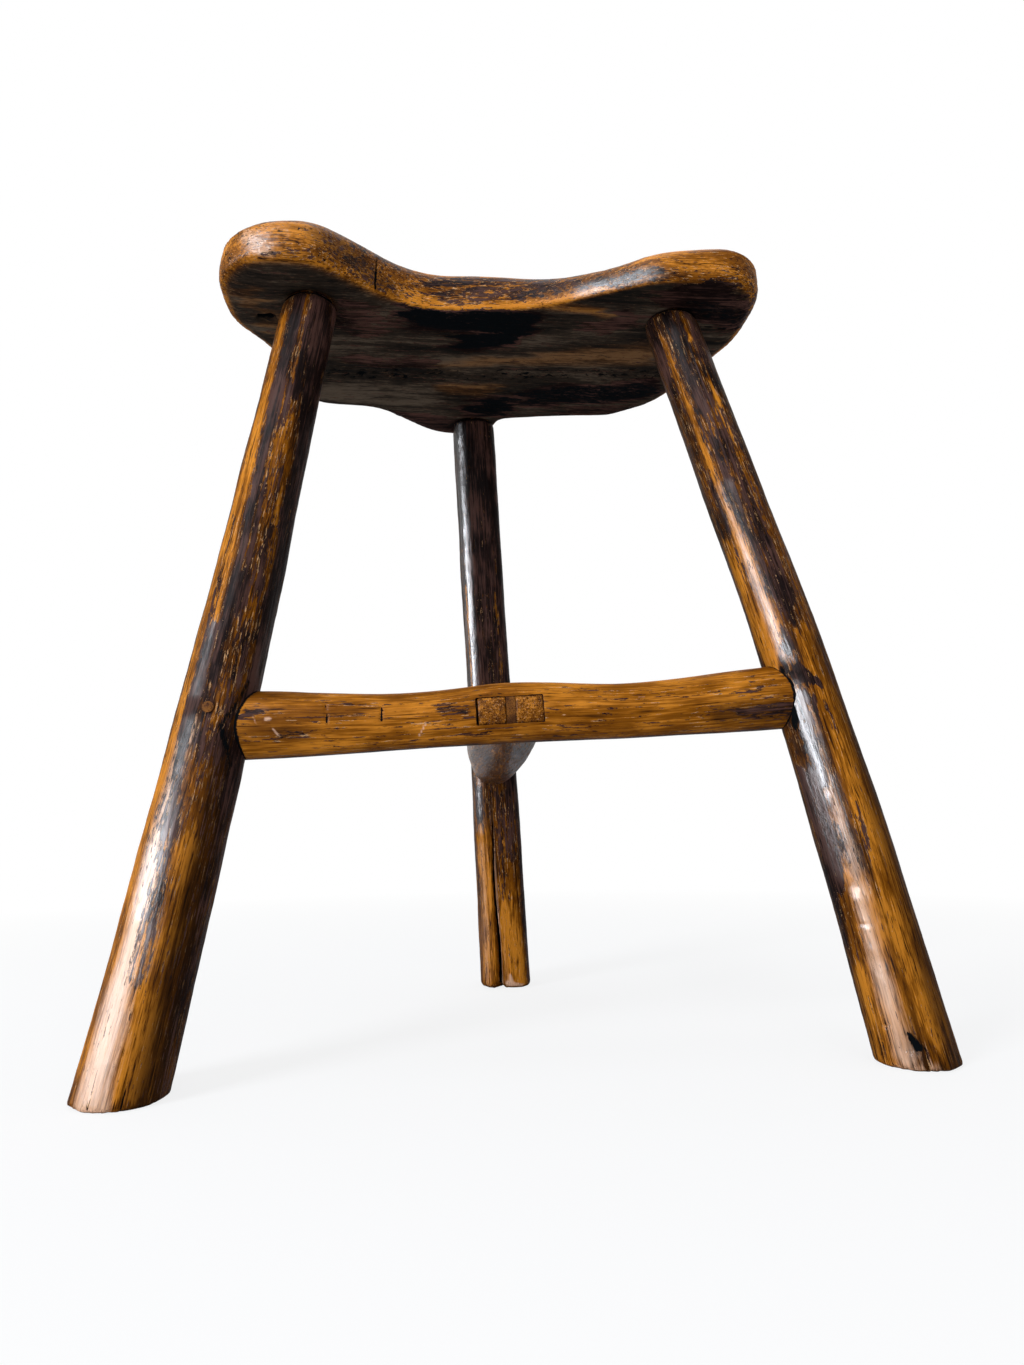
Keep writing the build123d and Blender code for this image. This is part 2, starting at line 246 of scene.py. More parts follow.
def wornLacquer(name, look):
    # old dark lacquer, rubbed through to polished softwood in long flakes: the eye gets
    # near-black skins with crisp broken edges over streaky amber, under one soft sheen
    material = emptyMaterial(name)
    part = {}
    for field in ("lacquer", "stain", "pale", "dry", "deep", "shade", "gloss"):
        part[field] = addNode(material, "Attribute", {"attribute_name": field}, {}, 2)
    grain = addNode(material, "Attribute", {"attribute_name": "grain"}, {}, 1)
    for layer, (size, detail, rough, bend) in look["layers"].items():
        # the lumps of each noise are size mm wide, twice across the fibres and along them
        stretch = {"Vector": grain, "Scale": [1 / width for width in size]}
        place = addNode(material, "Mapping", {}, stretch)
        inputs = {"Vector": place, "Scale": 1.0, "Detail": detail, "Roughness": rough}
        inputs["Distortion"] = bend
        part[layer] = addNode(material, "TexNoise", {}, inputs)

    # the wood's tone, how much lacquer is left, how thick the grime and the painted shade at the joints
    # lie, and the like
    for total, (start, weights) in look["sums"].items():
        inputs = {0: part.get(start, start), 1: -0.5 * sum(weights.values())}
        part[total] = addNode(material, "Math", {"operation": "ADD"}, inputs)
        for layer, weight in weights.items():
            inputs = {0: part[layer], 1: weight, 2: part[total]}
            part[total] = addNode(material, "Math", {"operation": "MULTIPLY_ADD"}, inputs)
    for share, (source, low, high) in look["ramps"].items():
        inputs = {"Value": part[source], "From Min": low, "From Max": high}
        settings = {"interpolation_type": "SMOOTHSTEP"}
        part[share] = addNode(material, "MapRange", settings, inputs)

    # each colour lies over the ones before it, as far as its share says
    for mixed, start, layers in look["colours"]:
        part[mixed] = linear(start)
        for share, top in layers:
            colour = part[top] if top in part else linear(top)
            inputs = {0: part[share], 6: part[mixed], 7: colour}
            part[mixed] = addNode(material, "Mix", {"data_type": "RGBA"}, inputs, 2)
    rough = look["rough"]
    for share, value in look["roughOver"]:
        inputs = {0: part[share], 2: rough, 3: value}
        rough = addNode(material, "Mix", {"data_type": "FLOAT"}, inputs)

    # the polish is best where hands and cloth rub, and missing on dry wood, on grime and on the painted
    # shade at the joints
    coat = {0: part["gloss"], 1: look["polish"], 2: look["coat"]}
    coat = addNode(material, "Math", {"operation": "MULTIPLY_ADD"}, coat)
    dull = {0: part["dry"], 1: part["grimeAndShade"]}
    dull = addNode(material, "Math", {"operation": "MAXIMUM"}, dull)
    settings = {"operation": "SUBTRACT", "use_clamp": True}
    coat = addNode(material, "Math", settings, {0: coat, 1: dull})
    height = part["thick"]
    for layer, weight in look["heights"]:
        inputs = {0: part[layer], 1: weight, 2: height}
        height = addNode(material, "Math", {"operation": "MULTIPLY_ADD"}, inputs)
    bump = {"Height": height, "Strength": look["bump"], "Distance": look["skin"] * mm}
    bump = addNode(material, "Bump", {}, bump)
    inputs = {
        "Base Color": part["surface"],
        "Roughness": rough,
        "Normal": bump,
        "IOR": look["ior"],
        "Specular IOR Level": look["specular"],
        "Coat Weight": coat,
        "Coat Roughness": look["coatRough"],
        "Coat IOR": look["coatIor"],
        "Coat Normal": bump,
    }
    shader = addNode(material, "BsdfPrincipled", {}, inputs)
    addNode(material, "OutputMaterial", {}, {"Surface": shader})
    return material


def endGrain(name, look):
    # sawn ends and split wedges, darkened by years of dirt: the eye gets dull brown wood
    # with dark pores and soft lighter patches
    material = emptyMaterial(name)
    place = addNode(material, "TexCoord", {}, {}, 3)
    part = {}
    for layer in ("pores", "patches"):
        size, detail, low, high = look[layer]
        inputs = {"Vector": place, "Scale": 1 / (size * mm), "Detail": detail}
        part[layer] = addNode(material, "TexNoise", {}, inputs)
        inputs = {"Value": part[layer], "From Min": low, "From Max": high}
        part[layer + "Share"] = addNode(material, "MapRange", {}, inputs)
    inputs = {0: part["patchesShare"], 6: linear(look["dark"]), 7: linear(look["light"])}
    wood = addNode(material, "Mix", {"data_type": "RGBA"}, inputs, 2)
    inputs = {0: part["poresShare"], 6: linear(look["pit"]), 7: wood}
    wood = addNode(material, "Mix", {"data_type": "RGBA"}, inputs, 2)
    inputs = {"Height": part["pores"], "Strength": look["bump"], "Distance": look["skin"] * mm}
    bump = addNode(material, "Bump", {}, inputs)
    inputs = {
        "Base Color": wood,
        "Roughness": look["rough"],
        "Normal": bump,
        "Specular IOR Level": look["specular"],
    }
    shader = addNode(material, "BsdfPrincipled", {}, inputs)
    addNode(material, "OutputMaterial", {}, {"Surface": shader})
    return material


legLook = {
    # noises: lump size in mm (twice across the fibres, once along), detail, roughness, bend;
    # real fibres and pores, under 0.1 mm wide, are too fine to show and so drawn ten times
    # as coarse
    "layers": {
        "fibre": ((0.7, 0.7, 12), 4, 0.65, 0.0),
        "streak": ((1.4, 1.4, 40), 4, 0.62, 0.3),
        "band": ((5, 5, 110), 2, 0.5, 0.4),
        "flake": ((1.3, 1.3, 6), 6, 0.72, 0.4),
        "pore": ((0.9, 0.9, 8.0), 3, 0.6, 0.0),
        "cloud": ((16, 16, 36), 3, 0.5, 0.0),
    },
    # a start, and the weights of the noises that are added about their middle
    "sums": {
        "tone": ("shade", {"band": 0.8, "streak": 0.7, "fibre": 0.8, "cloud": 0.8, "pore": 0.4}),
        "cover": ("lacquer", {"flake": 2.3, "streak": 2.2, "fibre": 1.0}),
        "chips": ("cover", {"pore": 1.5, "fibre": 1.0}),
        # this sum holds dirt and the painted contact shadow at the joints
        "darkening": ("stain", {"flake": 1.2, "fibre": 0.6}),
        "veins": (0.5, {"streak": 1.4, "fibre": 1.2, "pore": 0.4}),
        "paleAndLitSum": ("pale", {"streak": 0.9, "fibre": 0.5}),
        "chalky": (0.5, {"cloud": 0.8, "streak": 0.7, "fibre": 0.5}),
    },
    # shares: the sum they follow, and where they start and are full
    "ramps": {
        "midWood": ("tone", 0.25, 0.52),
        "brightWood": ("tone", 0.5, 0.8),
        "vein": ("veins", 0.38, 0.15),
        "thin": ("cover", 0.36, 0.52),
        "chip": ("chips", 0.56, 0.64),
        "thick": ("cover", 0.5, 0.54),
        "paleAndLit": ("paleAndLitSum", 0.2, 0.95),
        "chalk": ("chalky", 0.42, 0.66),
        "grimeAndShade": ("darkening", 0.42, 0.6),
    },
    "colours": (
        ("skin", "#120908", (("chalk", "#4C332C"),)),
        ("chipped", "#C89C6C", (("deep", "#3A2410"), ("dry", "#4A3828"))),
        # dry wood, its colours darker in part as painted shade, since it faces down under the seat and the
        # feet
        ("shadedDryWood", "#12100E", (("midWood", "#29211A"), ("brightWood", "#504438"))),
        # in the surface, deep is mostly painted shade on the sides turned from the light, at the edges and
        # below; the pale bleach is partly painted highlight and partly worn pale wood; grime also holds
        # painted contact shadow at the joints
        ("surface", "#381C03", (
            ("midWood", "#7A4506"), ("brightWood", "#C87E24"), ("vein", "#241204"),
            ("paleAndLit", "#DCB090"), ("deep", "#1A0C04"), ("dry", "shadedDryWood"), ("thin", "#2A1508"),
            ("chip", "chipped"), ("thick", "skin"), ("grimeAndShade", "#05080A"),
        )),
    ),
    # roughness of the wood, and of what lies over it
    "rough": 0.5,
    "roughOver": (("thick", 0.35), ("dry", 0.8), ("grimeAndShade", 0.85)),
    "ior": 1.45,
    "specular": 0.02,
    # clear gloss: everywhere, and where the piece is painted as polished
    "coat": 0.012,
    "polish": 1.05,
    "coatRough": 0.2,
    "coatIor": 1.5,
    # how far the lacquer's skin stands out in mm, and the weights of what it rides on
    "bump": 0.7,
    "skin": 0.22,
    "heights": (("cover", 0.35), ("fibre", 0.9)),
}
legWood = wornLacquer("worn_lacquer_on_pole", legLook)
print("leg material made")


# Poles

handWidth = 20.0  # a pole's usual half thickness: turns an angle into a width on the bark
bark = {
    # what all three poles share
    "halfWidth": handWidth,
    # relief in mm: height, lump size twice across and once along, seed, octaves
    "facetDrift": (3, (60, 60, 90), 1),
    "swayLumps": ((24, 24, 70), 2),
    "ridges": (0.13, (1.8, 1.8, 34), 3, 3),
    "nicks": (0.12, (4, 4, 9), 5, 3),
    "crackDepth": 1.1,
    # chips in the foot's sawn edge: lump size, seed, level the noise cuts from, depth, height
    "sawn": ((5, 5, 5), 4, 0.1, 2.2, 2.5),
    # height over which the top is drawn in at the seat, and how much of that height
    "shoulder": 6.0,
    "drawIn": 0.55,
    # torn outlines of the lacquer, across and along: push in mm, lump size, octaves
    "torn": ((1.5, (7, 7, 26), 3), (8.0, (4, 4, 40), 2)),
    "shade": 0.45,
    "bareShade": 0.7,
    "dryEnds": 0.8,
    # painted shade in the corner under the seat
    "jointShade": 0.8,
    # one pole may have these otherwise
    "square": 2.0,  # 2 gives a round section, more a squarer one
    "rings": 420,
    "sides": 150,
    "crowd": None,
    "split": None,
}


def bent(z, foot, bend, top, bendHeight=171.0, ease=130.0):
    # two straight runs that meet in an eased bend, as the frame's poles have
    lowSlope = (bend - foot) / bendHeight
    highSlope = (top - bend) / (underside - bendHeight)
    past = z - bendHeight
    reach = np.maximum(ease - np.abs(past), 0)
    straight = bend + np.where(past > 0, highSlope, lowSlope) * past
    return straight + (highSlope - lowSlope) * reach**2 / (4 * ease)


def poleCentre(pole, z):
    x, y = (bent(z, *run) for run in zip(pole["foot"], pole["bend"], pole["top"]))
    return np.stack([x, y, z], -1)


def turned(points, seam):
    # angle of each point about z in degrees, from seam - 360 to seam
    angle = np.degrees(np.arctan2(points[:, 1], points[:, 0]))
    return np.where(angle > seam, angle - 360, angle)


def ragged(straight, across, along, seed):
    # places pushed about by noise, so that a stroke laid on them gets a ragged outline
    (push0, size0, octaves0), (push1, size1, octaves1) = bark["torn"]
    across = across + raised(straight, push0, size0, seed, octaves0)
    return across, along + raised(straight, push1, size1, seed + 1, octaves1)


def splitShape(pole, across, z):
    # each point's share of the drying split's depth, how much of the split is left at its
    # height, and how far beside the split it is
    split = pole["split"]
    if not split:
        return 0 * z, 0 * z, 0 * z
    taper = np.clip(1 - z / split["height"], 0, 1) ** split["taper"]
    sway = split["wander"] * np.sin(z / split["wave"])
    middle = math.radians(split["angle"]) * handWidth + sway
    wide = np.maximum(split["width"] * taper, split["least"])
    into = np.clip(1 - np.abs(across - middle) / wide, 0, 1) ** split["wall"]
    return into * (taper > 0), taper, across - middle


def makePole(name, pole):
    mesh = meshFrom(roundBlank(pole["rings"], pole["sides"]), name)
    unit = readAll(mesh, "co")
    angle = turned(unit, 90)
    if pole["crowd"]:
        # more of the sides' points go to the crack
        near, share = pole["crowd"]
        angle = angle - np.degrees(share) * np.sin(np.radians(angle - near))
    reach = np.hypot(unit[:, 0], unit[:, 1])
    z = (unit[:, 2] + 0.5) * underside
    turn = np.radians(angle)
    across = turn * handWidth
    half = bent(z, *pole["half"])
    c, s = np.abs(np.cos(turn)), np.abs(np.sin(turn))
    section = (c ** pole["square"] + s ** pole["square"]) ** (-1 / pole["square"])
    straight = np.stack([handWidth * np.cos(turn), handWidth * np.sin(turn), z], -1)

    # hewn facets, long hollows, ridged fibres, dents, cracks, knots
    facets = turn * pole["facets"] + raised(straight, *pole["facetDrift"])
    relief = pole["facet"] * np.cos(facets) + raised(straight, pole["sway"], *pole["swayLumps"])
    relief += raised(straight, *pole["ridges"])
    relief += raised(straight, *pole["nicks"])
    relief -= marked(pole, "cracks", across, z) * pole["crackDepth"]
    relief -= marked(pole, "dents", across, z)
    relief += marked(pole, "bumps", across, z)
    foot = pole["footRound"]
    low = np.clip(foot - z, 0, None)
    relief -= foot - np.sqrt(np.clip(foot**2 - low**2, 0, None))
    size, seed, level, depth, height = pole["sawn"]
    chips = np.clip(lumps(straight, size, seed) - level, 0, 1)
    relief -= chips * np.exp(-z / height) * depth
    shoulder = pole["shoulder"]
    high = np.clip(z - (underside - shoulder), 0, None)
    drawnIn = shoulder - np.sqrt(np.clip(shoulder**2 - high**2, 0, None))
    relief -= drawnIn * pole["drawIn"]
    # the relief fades out towards the middle of the end faces
    radius = (half * section + relief * step(reach, 0.6, 1.0)) * reach
    into, taper, aside = splitShape(pole, across, z)
    split = pole["split"]
    if split:
        # the foot's two halves are rounded apart
        radius -= into * split["depth"] * taper**0.5 * reach
        near = -((aside / split["liftAside"]) ** 2) - z / split["liftUp"]
        z = z + split["lift"] * np.exp(near) * step(reach, 0.2, 0.9)
    points = poleCentre(pole, z)
    points += np.stack([np.cos(turn), np.sin(turn), 0 * z], -1) * radius[:, None]
    settle(mesh, points)
    return mesh


tenonOverlap = 0.5  # how far the tenon starts below the seat, in mm


def withTenon(mesh, node):
    # the pole's round tenon through the seat, cut from the frame's own leg
    bm = solidCopy(node)
    cut = Vector((0, 0, (underside - tenonOverlap) * mm))
    everything = bm.verts[:] + bm.edges[:] + bm.faces[:]
    bmesh.ops.bisect_plane(bm, geom=everything, plane_co=cut, plane_no=(0, 0, 1), clear_inner=True)
    bm.from_mesh(mesh)
    bm.to_mesh(mesh)
    bm.free()


def paintPole(mesh, pole):
    points = pointsOf(mesh)
    z = points[:, 2]
    grain = points - poleCentre(pole, z)
    angle = turned(grain, 90)
    across = np.radians(angle) * handWidth
    grain[:, 2] = z
    tenon = step(z, underside + tenonOverlap, underside + 4)
    torn = ragged(grain, across, z, 41)
    lacquer = curveThrough(z / underside, *pole["base"]) * (1 - tenon)
    lacquer += marked(pole, "lacquer", *torn)
    bare = marked(pole, "bare", *torn)
    # dirt lies in the cracks and the split; the corner under the seat gets painted shade
    cracks = step(marked(pole, "cracks", across, z), 0.3, 0.9)
    split = step(splitShape(pole, across, z)[0], 0.2, 0.6)
    corner = step(z, underside - 3, underside - tenonOverlap) * (1 - tenon)
    stain = most(marked(pole, "grimeAndShade", across, z), cracks, split, pole["jointShade"] * corner)
    ends = most(tenon, step(-readAll(mesh, "normal")[:, 2], 0.7, 0.9))
    # deep is mostly painted shade on the sides turned from the light; pale holds pale chips, worn pale
    # wood and painted highlights on the side towards the light; the corner shade is painted too
    paint(
        mesh, grain,
        lacquer=lacquer - bare,
        shade=pole["shade"] + bare * pole["bareShade"],
        stain=stain,
        pale=marked(pole, "pale", across, z) + marked(pole, "paleWornAndHighlit", *torn),
        dry=ends * pole["dryEnds"],
        deep=marked(pole, "deep", across, z),
        gloss=marked(pole, "gloss", across, z),
    )


leftPole = bark | {
    # x and y of the centre line at the floor, at the bend and at the seat, and half the
    # thickness there
    "foot": (-202.5, 0.0),
    "bend": (-172.3, 19.8),
    "top": (-129.7, 53.7),
    "half": (22.3, 20.6, 16.9),
    # height of the hewn facets, their number, height of the long hollows
    "facet": 0.22,
    "facets": 7,
    "sway": 0.5,
    "footRound": 2.2,
    # lacquer everywhere, at shares of the height
    "base": ((0.0, 0.2, 0.4, 0.6, 1.0), (0.12, 0.24, 0.36, 0.34, 0.3)),
    # strokes: how soft their edges are in mm, then each one's strength, and angle in degrees,
    # height and half width at each point that it runs through
    "lacquer": [
        2, (0.9, -101, 456, 4, -101, 400, 3.4, -100, 340, 2, -96, 290, 1.6, -92, 205, 2.4),
        (0.5, -122, 450, 0.6, -124, 412, 0.6), (0.6, -72, 456, 2.4, -66, 385, 2.4),
        (0.6, -84, 395, 1.6, -80, 360, 1.6), (0.7, -58, 456, 6, -20, 360, 8),
        (0.5, -84, 320, 1.6, -78, 240, 2.4), (0.5, -62, 330, 1.6, -58, 250, 2.6),
        (0.45, -126, 300, 1.4, -122, 235, 3), (0.6, -114, 236, 3.2, -116, 202, 3.4),
        (0.7, -116, 196, 4, -116, 172, 3.6), (0.3, -98, 204, 3, -78, 166, 4),
        (0.5, -112, 165, 3, -106, 140, 2), (0.55, -102, 138, 4.2, -92, 60, 5),
        (0.25, -128, 150, 2, -126, 110, 2), (0.3, -62, 235, 3, -58, 165, 4),
        (0.5, -20, 456, 8, -20, 140, 7), (0.3, -14, 140, 7, -12, 0, 6), (0.4, 20, 456, 9, 20, 0, 7),
        (0.4, -160, 400, 3, -160, 370, 3),
    ],
    "bare": [
        2, (0.3, -133, 440, 3, -128, 330, 4.2), (0.3, -138, 330, 5, -142, 260, 5),
        (0.15, -140, 260, 5, -142, 200, 6), (0.25, -145, 200, 6, -145, 20, 8),
        (0.25, -62, 370, 2.2, -56, 300, 2.4), (0.25, -75, 120, 6, -65, 10, 7),
        (0.25, -110, 120, 6, -110, 10, 8), (0.3, -122, 340, 2.4, -116, 240, 3),
    ],
    # deep: painted shade on the right side, the back and the left edge
    "deep": [
        7, (0.8, -40, 456, 9, -20, 330, 9), (0.9, -30, 330, 6, -28, 200, 7), (0.9, -28, 200, 8, -30, 0, 8),
        (0.85, -54, 170, 6, -48, 0, 7), (0.9, -166, 456, 3.5, -168, 180, 3), (0.7, 20, 456, 14, 20, 0, 12),
    ],
    # painted contact shadow around the stretcher's joint
    "grimeAndShade": [2, (0.6, -36, 205, 2, -66, 180, 2, -36, 160, 2)],
    "pale": [1.5, (0.5, -122, 196, 0.6, -124, 174, 0.6), (0.5, -104, 196, 0.5, -103, 172, 0.5)],
    # partly worn pale wood, partly a painted highlight on the side towards the light
    "paleWornAndHighlit": [7, (0.85, -116, 178, 4, -112, 60, 6), (0.85, -114, 60, 7, -108, 0, 9)],
    "cracks": [
        0.6, (0.6, -118, 330, 0.1, -112, 230, 0.3), (0.6, -84, 440, 0.2, -80, 330, 0.3),
        (0.9, -72, 18, 0.1, -70, 0, 0.5), (0.6, -96, 22, 0.1, -95, 0, 0.3),
        (0.8, 60, 400, 0.1, 55, 250, 0.3),
    ],
    "dents": [3, (0.5, -95, 210, 3, -80, 190, 3), (0.4, -112, 240, 2, -112, 200, 2)],
    "bumps": [4, (0.3, -118, 150, 3, -118, 120, 3)],
    # where it is polished best
    "gloss": [
        4, (0.4, -120, 236, 3, -118, 200, 3), (0.45, -114, 180, 5, -110, 90, 7),
        (0.2, -110, 90, 7, -110, 10, 7), (0.4, -98, 140, 4, -92, 60, 5),
    ],
}
rightPole = bark | {
    "foot": (202.5, 0.0),
    "bend": (175.3, 18.3),
    "top": (105.9, 52.8),
    "half": (21.6, 19.6, 17.4),
    "facet": 0.22,
    "facets": 8,
    "sway": 0.5,
    "footRound": 2.0,
    "base": ((0.0, 0.2, 0.4, 0.6, 1.0), (0.1, 0.18, 0.3, 0.4, 0.42)),
    "lacquer": [
        2, (0.36, -116, 456, 4.2, -116, 385, 4.2), (0.34, -116, 360, 3.4, -118, 318, 3),
        (0.5, -164, 456, 4.5, -168, 400, 3), (0.35, -152, 330, 1.6, -152, 270, 1.6),
        (0.3, -96, 456, 2, -97, 385, 2.2), (0.35, -62, 456, 6, -60, 400, 4),
        (0.34, -97, 365, 3, -93, 300, 3), (0.32, -118, 310, 3, -112, 262, 3),
        (0.6, -92, 296, 3, -88, 255, 3), (0.4, -98, 262, 3, -95, 235, 2.4),
        (0.6, -124, 236, 2, -116, 224, 2.4), (0.9, -122, 211, 5, -94, 206, 5),
        (0.6, -120, 196, 4, -108, 192, 3), (0.6, -132, 195, 4, -136, 150, 4),
        (0.7, -160, 150, 7, -160, 95, 6), (0.7, -178, 95, 4, -182, 60, 2),
        (0.4, -136, 120, 3, -142, 100, 2), (0.55, -94, 135, 1.6, -96, 110, 1.4),
        (0.5, -86, 190, 1.6, -84, 180, 1.2), (0.5, 0, 456, 8, 0, 60, 6), (0.4, 60, 456, 8, 60, 200, 6),
    ],
    "bare": [
        2, (0.35, -142, 440, 1.2, -142, 300, 2.2), (0.35, -136, 310, 3, -132, 235, 3.5),
        (0.3, -160, 290, 8, -160, 225, 9), (0.2, -132, 295, 4, -132, 240, 4),
        (0.25, -80, 230, 8, -75, 20, 9), (0.3, -130, 90, 8, -130, 20, 9),
        (0.4, -84, 432, 1.5, -92, 428, 1.5), (0.4, -78, 404, 2, -78, 386, 2),
        (0.3, -165, 40, 9, -165, 0, 9),
    ],
    # deep: mostly painted shade on the right side, the back and the left edge; the two strokes near -105
    # degrees are darker wood, one a halo round the knot
    "deep": [
        7, (0.8, -34, 456, 6, -34, 0, 6), (0.8, -200, 456, 8, -200, 0, 7), (0.8, -52, 230, 7, -56, 0, 9),
        (0.3, -104, 120, 4, -106, 40, 4), (0.8, -108, 32, 1, -112, 12, 4), (0.5, 20, 456, 14, 20, 0, 12),
    ],
    # the first two strokes are painted contact shadow beside the stretcher's joint; the last is a dark
    # knot
    "grimeAndShade": [
        2, (0.7, -140, 214, 2, -150, 200, 2), (0.7, -145, 190, 3, -150, 180, 3),
        (0.9, -118, 18, 1.4, -111, 12, 2.6),
    ],
    "pale": [1.5, (0.7, -66, 390, 1, -64, 386, 1), (0.6, -76, 396, 0.8, -74, 392, 0.8)],
    # partly worn pale wood, partly a painted highlight on the side towards the light
    "paleWornAndHighlit": [
        7, (0.65, -138, 320, 1, -132, 240, 3), (0.75, -122, 170, 1.5, -128, 92, 3),
        (0.85, -128, 92, 3, -133, 30, 4.5), (0.8, -133, 30, 4.5, -130, 8, 6),
        (0.8, -140, 1, 3, -100, 1, 3), (0.5, -178, 70, 1, -182, 30, 1),
    ],
    "cracks": [
        0.6, (1, -146, 72, 0.3, -122, 72, 0.1), (0.8, -150, 20, 0.3, -138, 22, 0.1),
        (0.8, -104, 22, 0.1, -100, 0, 0.5), (0.7, -100, 456, 0.2, -98, 340, 0.4),
        (0.5, -130, 450, 0.1, -130, 390, 0.2), (0.8, 30, 430, 0.1, 34, 260, 0.3),
    ],
    "dents": [3, (0.6, -118, 206, 4, -96, 206, 4), (0.9, -116, 14, 3, -116, 12, 3)],
    "bumps": [4, (0.8, -135, 84, 4, -138, 60, 4), (0.4, -120, 230, 2, -118, 222, 2)],
    "gloss": [
        4, (0.3, -118, 330, 2, -122, 250, 3), (0.5, -138, 330, 1.5, -134, 255, 3),
        (0.6, -132, 255, 3, -124, 222, 4), (1, -130, 200, 4, -130, 140, 3),
        (0.8, -121, 150, 2.5, -124, 90, 3), (0.8, -128, 90, 4, -134, 30, 5),
        (0.4, -134, 30, 5, -130, 10, 5), (0.5, -150, 150, 6, -150, 100, 5),
    ],
}
rearPole = bark | {
    "foot": (9.4, 267.5),
    "bend": (0.5, 247.2),
    "top": (-16.3, 213.1),
    "half": (19.8, 17.6, 16.7),
    "square": 3.45,
    "sides": 160,
    "crowd": (-108, 0.35),  # the angle that the sides crowd to, and how much
    "facet": 0.15,
    "facets": 5,
    "sway": 0.6,
    "footRound": 4.5,
    "shoulder": 4.0,
    "base": ((0.0, 0.15, 0.3, 0.5, 1.0), (0.06, 0.2, 0.34, 0.3, 0.3)),
    "lacquer": [
        2, (0.9, -90, 450, 16, -90, 330, 16), (0.55, -90, 330, 16, -90, 190, 16),
        (0.6, -135, 456, 8, -135, 200, 8), (0.8, -45, 456, 10, -45, 160, 8),
        (0.6, -138, 158, 3, -134, 125, 2), (0.36, -86, 155, 4, -84, 75, 2),
        (0.36, -62, 150, 4, -62, 100, 3), (0.6, -30, 160, 6, -34, 0, 3), (0.6, 30, 456, 12, 30, 60, 10),
        (0.5, -190, 456, 12, -190, 100, 8),
    ],
    "bare": [
        2, (0.25, -115, 456, 4, -60, 446, 6), (0.8, -61, 380, 0.7, -62, 240, 0.9),
        (0.6, -138, 320, 1.5, -139, 175, 1.6), (0.3, -128, 120, 6, -128, 10, 6),
        (0.3, -78, 60, 9, -72, 5, 9),
    ],
    # deep: painted shade on the right side
    "deep": [7, (0.6, -60, 430, 9, -60, 150, 6), (0.8, -30, 456, 9, -30, 0, 6)],
    "grimeAndShade": [2],
    # the first stroke is a painted highlight along the split's edge; the others are pale chips at the foot
    "pale": [
        1.5, (0.8, -105, 150, 0.5, -103, 5, 0.8), (0.8, -88, 4, 2, -58, 2, 1.5),
        (0.8, -82, 10, 1, -80, 3, 2),
    ],
    # the first stroke is a painted highlight along the left facet's edge; the others are partly worn pale
    # wood, partly painted highlight
    "paleWornAndHighlit": [
        7, (0.8, -138, 330, 0.1, -139, 170, 0.1), (0.45, -130, 120, 1.5, -130, 0, 3.5),
        (0.4, -94, 70, 0.5, -90, 0, 3),
    ],
    "cracks": [
        0.6, (0.6, -122, 120, 0.1, -122, 30, 0.3), (0.8, -86, 40, 0.1, -84, 12, 0.4),
        (0.5, -75, 240, 0.2, -73, 380, 0.1),
    ],
    "dents": [3],
    "bumps": [4],
    "gloss": [
        4, (1, -136, 456, 4, -134, 200, 4), (1, -136, 200, 4, -134, 125, 3),
        (0.8, -134, 110, 3, -134, 10, 3),
    ],
    "split": {
        "angle": -108,
        "height": 156.0,
        "width": 1.8,  # half width at the floor, and the least one further up
        "least": 0.3,
        "depth": 9.0,
        "wander": 1.0,  # to the sides, and the height over which it goes to and fro
        "wave": 17.0,
        "taper": 0.6,  # powers that shape its narrowing upwards and its walls
        "wall": 0.7,
        # the halves' rounded ends: lift at the split, its reach aside and up
        "lift": 4.5,
        "liftAside": 3.0,
        "liftUp": 4.0,
    },
}

for side, pole in (("front_left", leftPole), ("front_right", rightPole), ("rear", rearPole)):
    mesh = makePole(side + "_pole", pole)
    withTenon(mesh, side + "_leg")
    paintPole(mesh, pole)
    addPiece(side + "_pole", mesh, legWood, side + "_leg")


# Front stretcher

# the same lacquer nearly all rubbed off by feet: the eye gets smooth amber with fine dark
# grain lines, drawn coarser than real ones too
barTone = {"band": 0.5, "streak": 0.35, "fibre": 0.6, "cloud": 0.8, "pore": 0.2}
barLayers = {"fibre": ((0.9, 0.9, 26), 3, 0.6, 0.0), "pore": ((1.0, 1.0, 14), 3, 0.6, 0.0)}
barRamps = {"vein": ("veins", 0.28, 0.04), "chip": ("chips", 0.62, 0.7)}
stretcherLook = legLook | {
    "layers": legLook["layers"] | barLayers,
    "sums": legLook["sums"] | {"tone": ("shade", barTone)},
    "ramps": legLook["ramps"] | barRamps,
    "bump": 0.5,
    "coat": 0.04,
}
stretcherWood = wornLacquer("polished_amber_on_stretcher", stretcherLook)

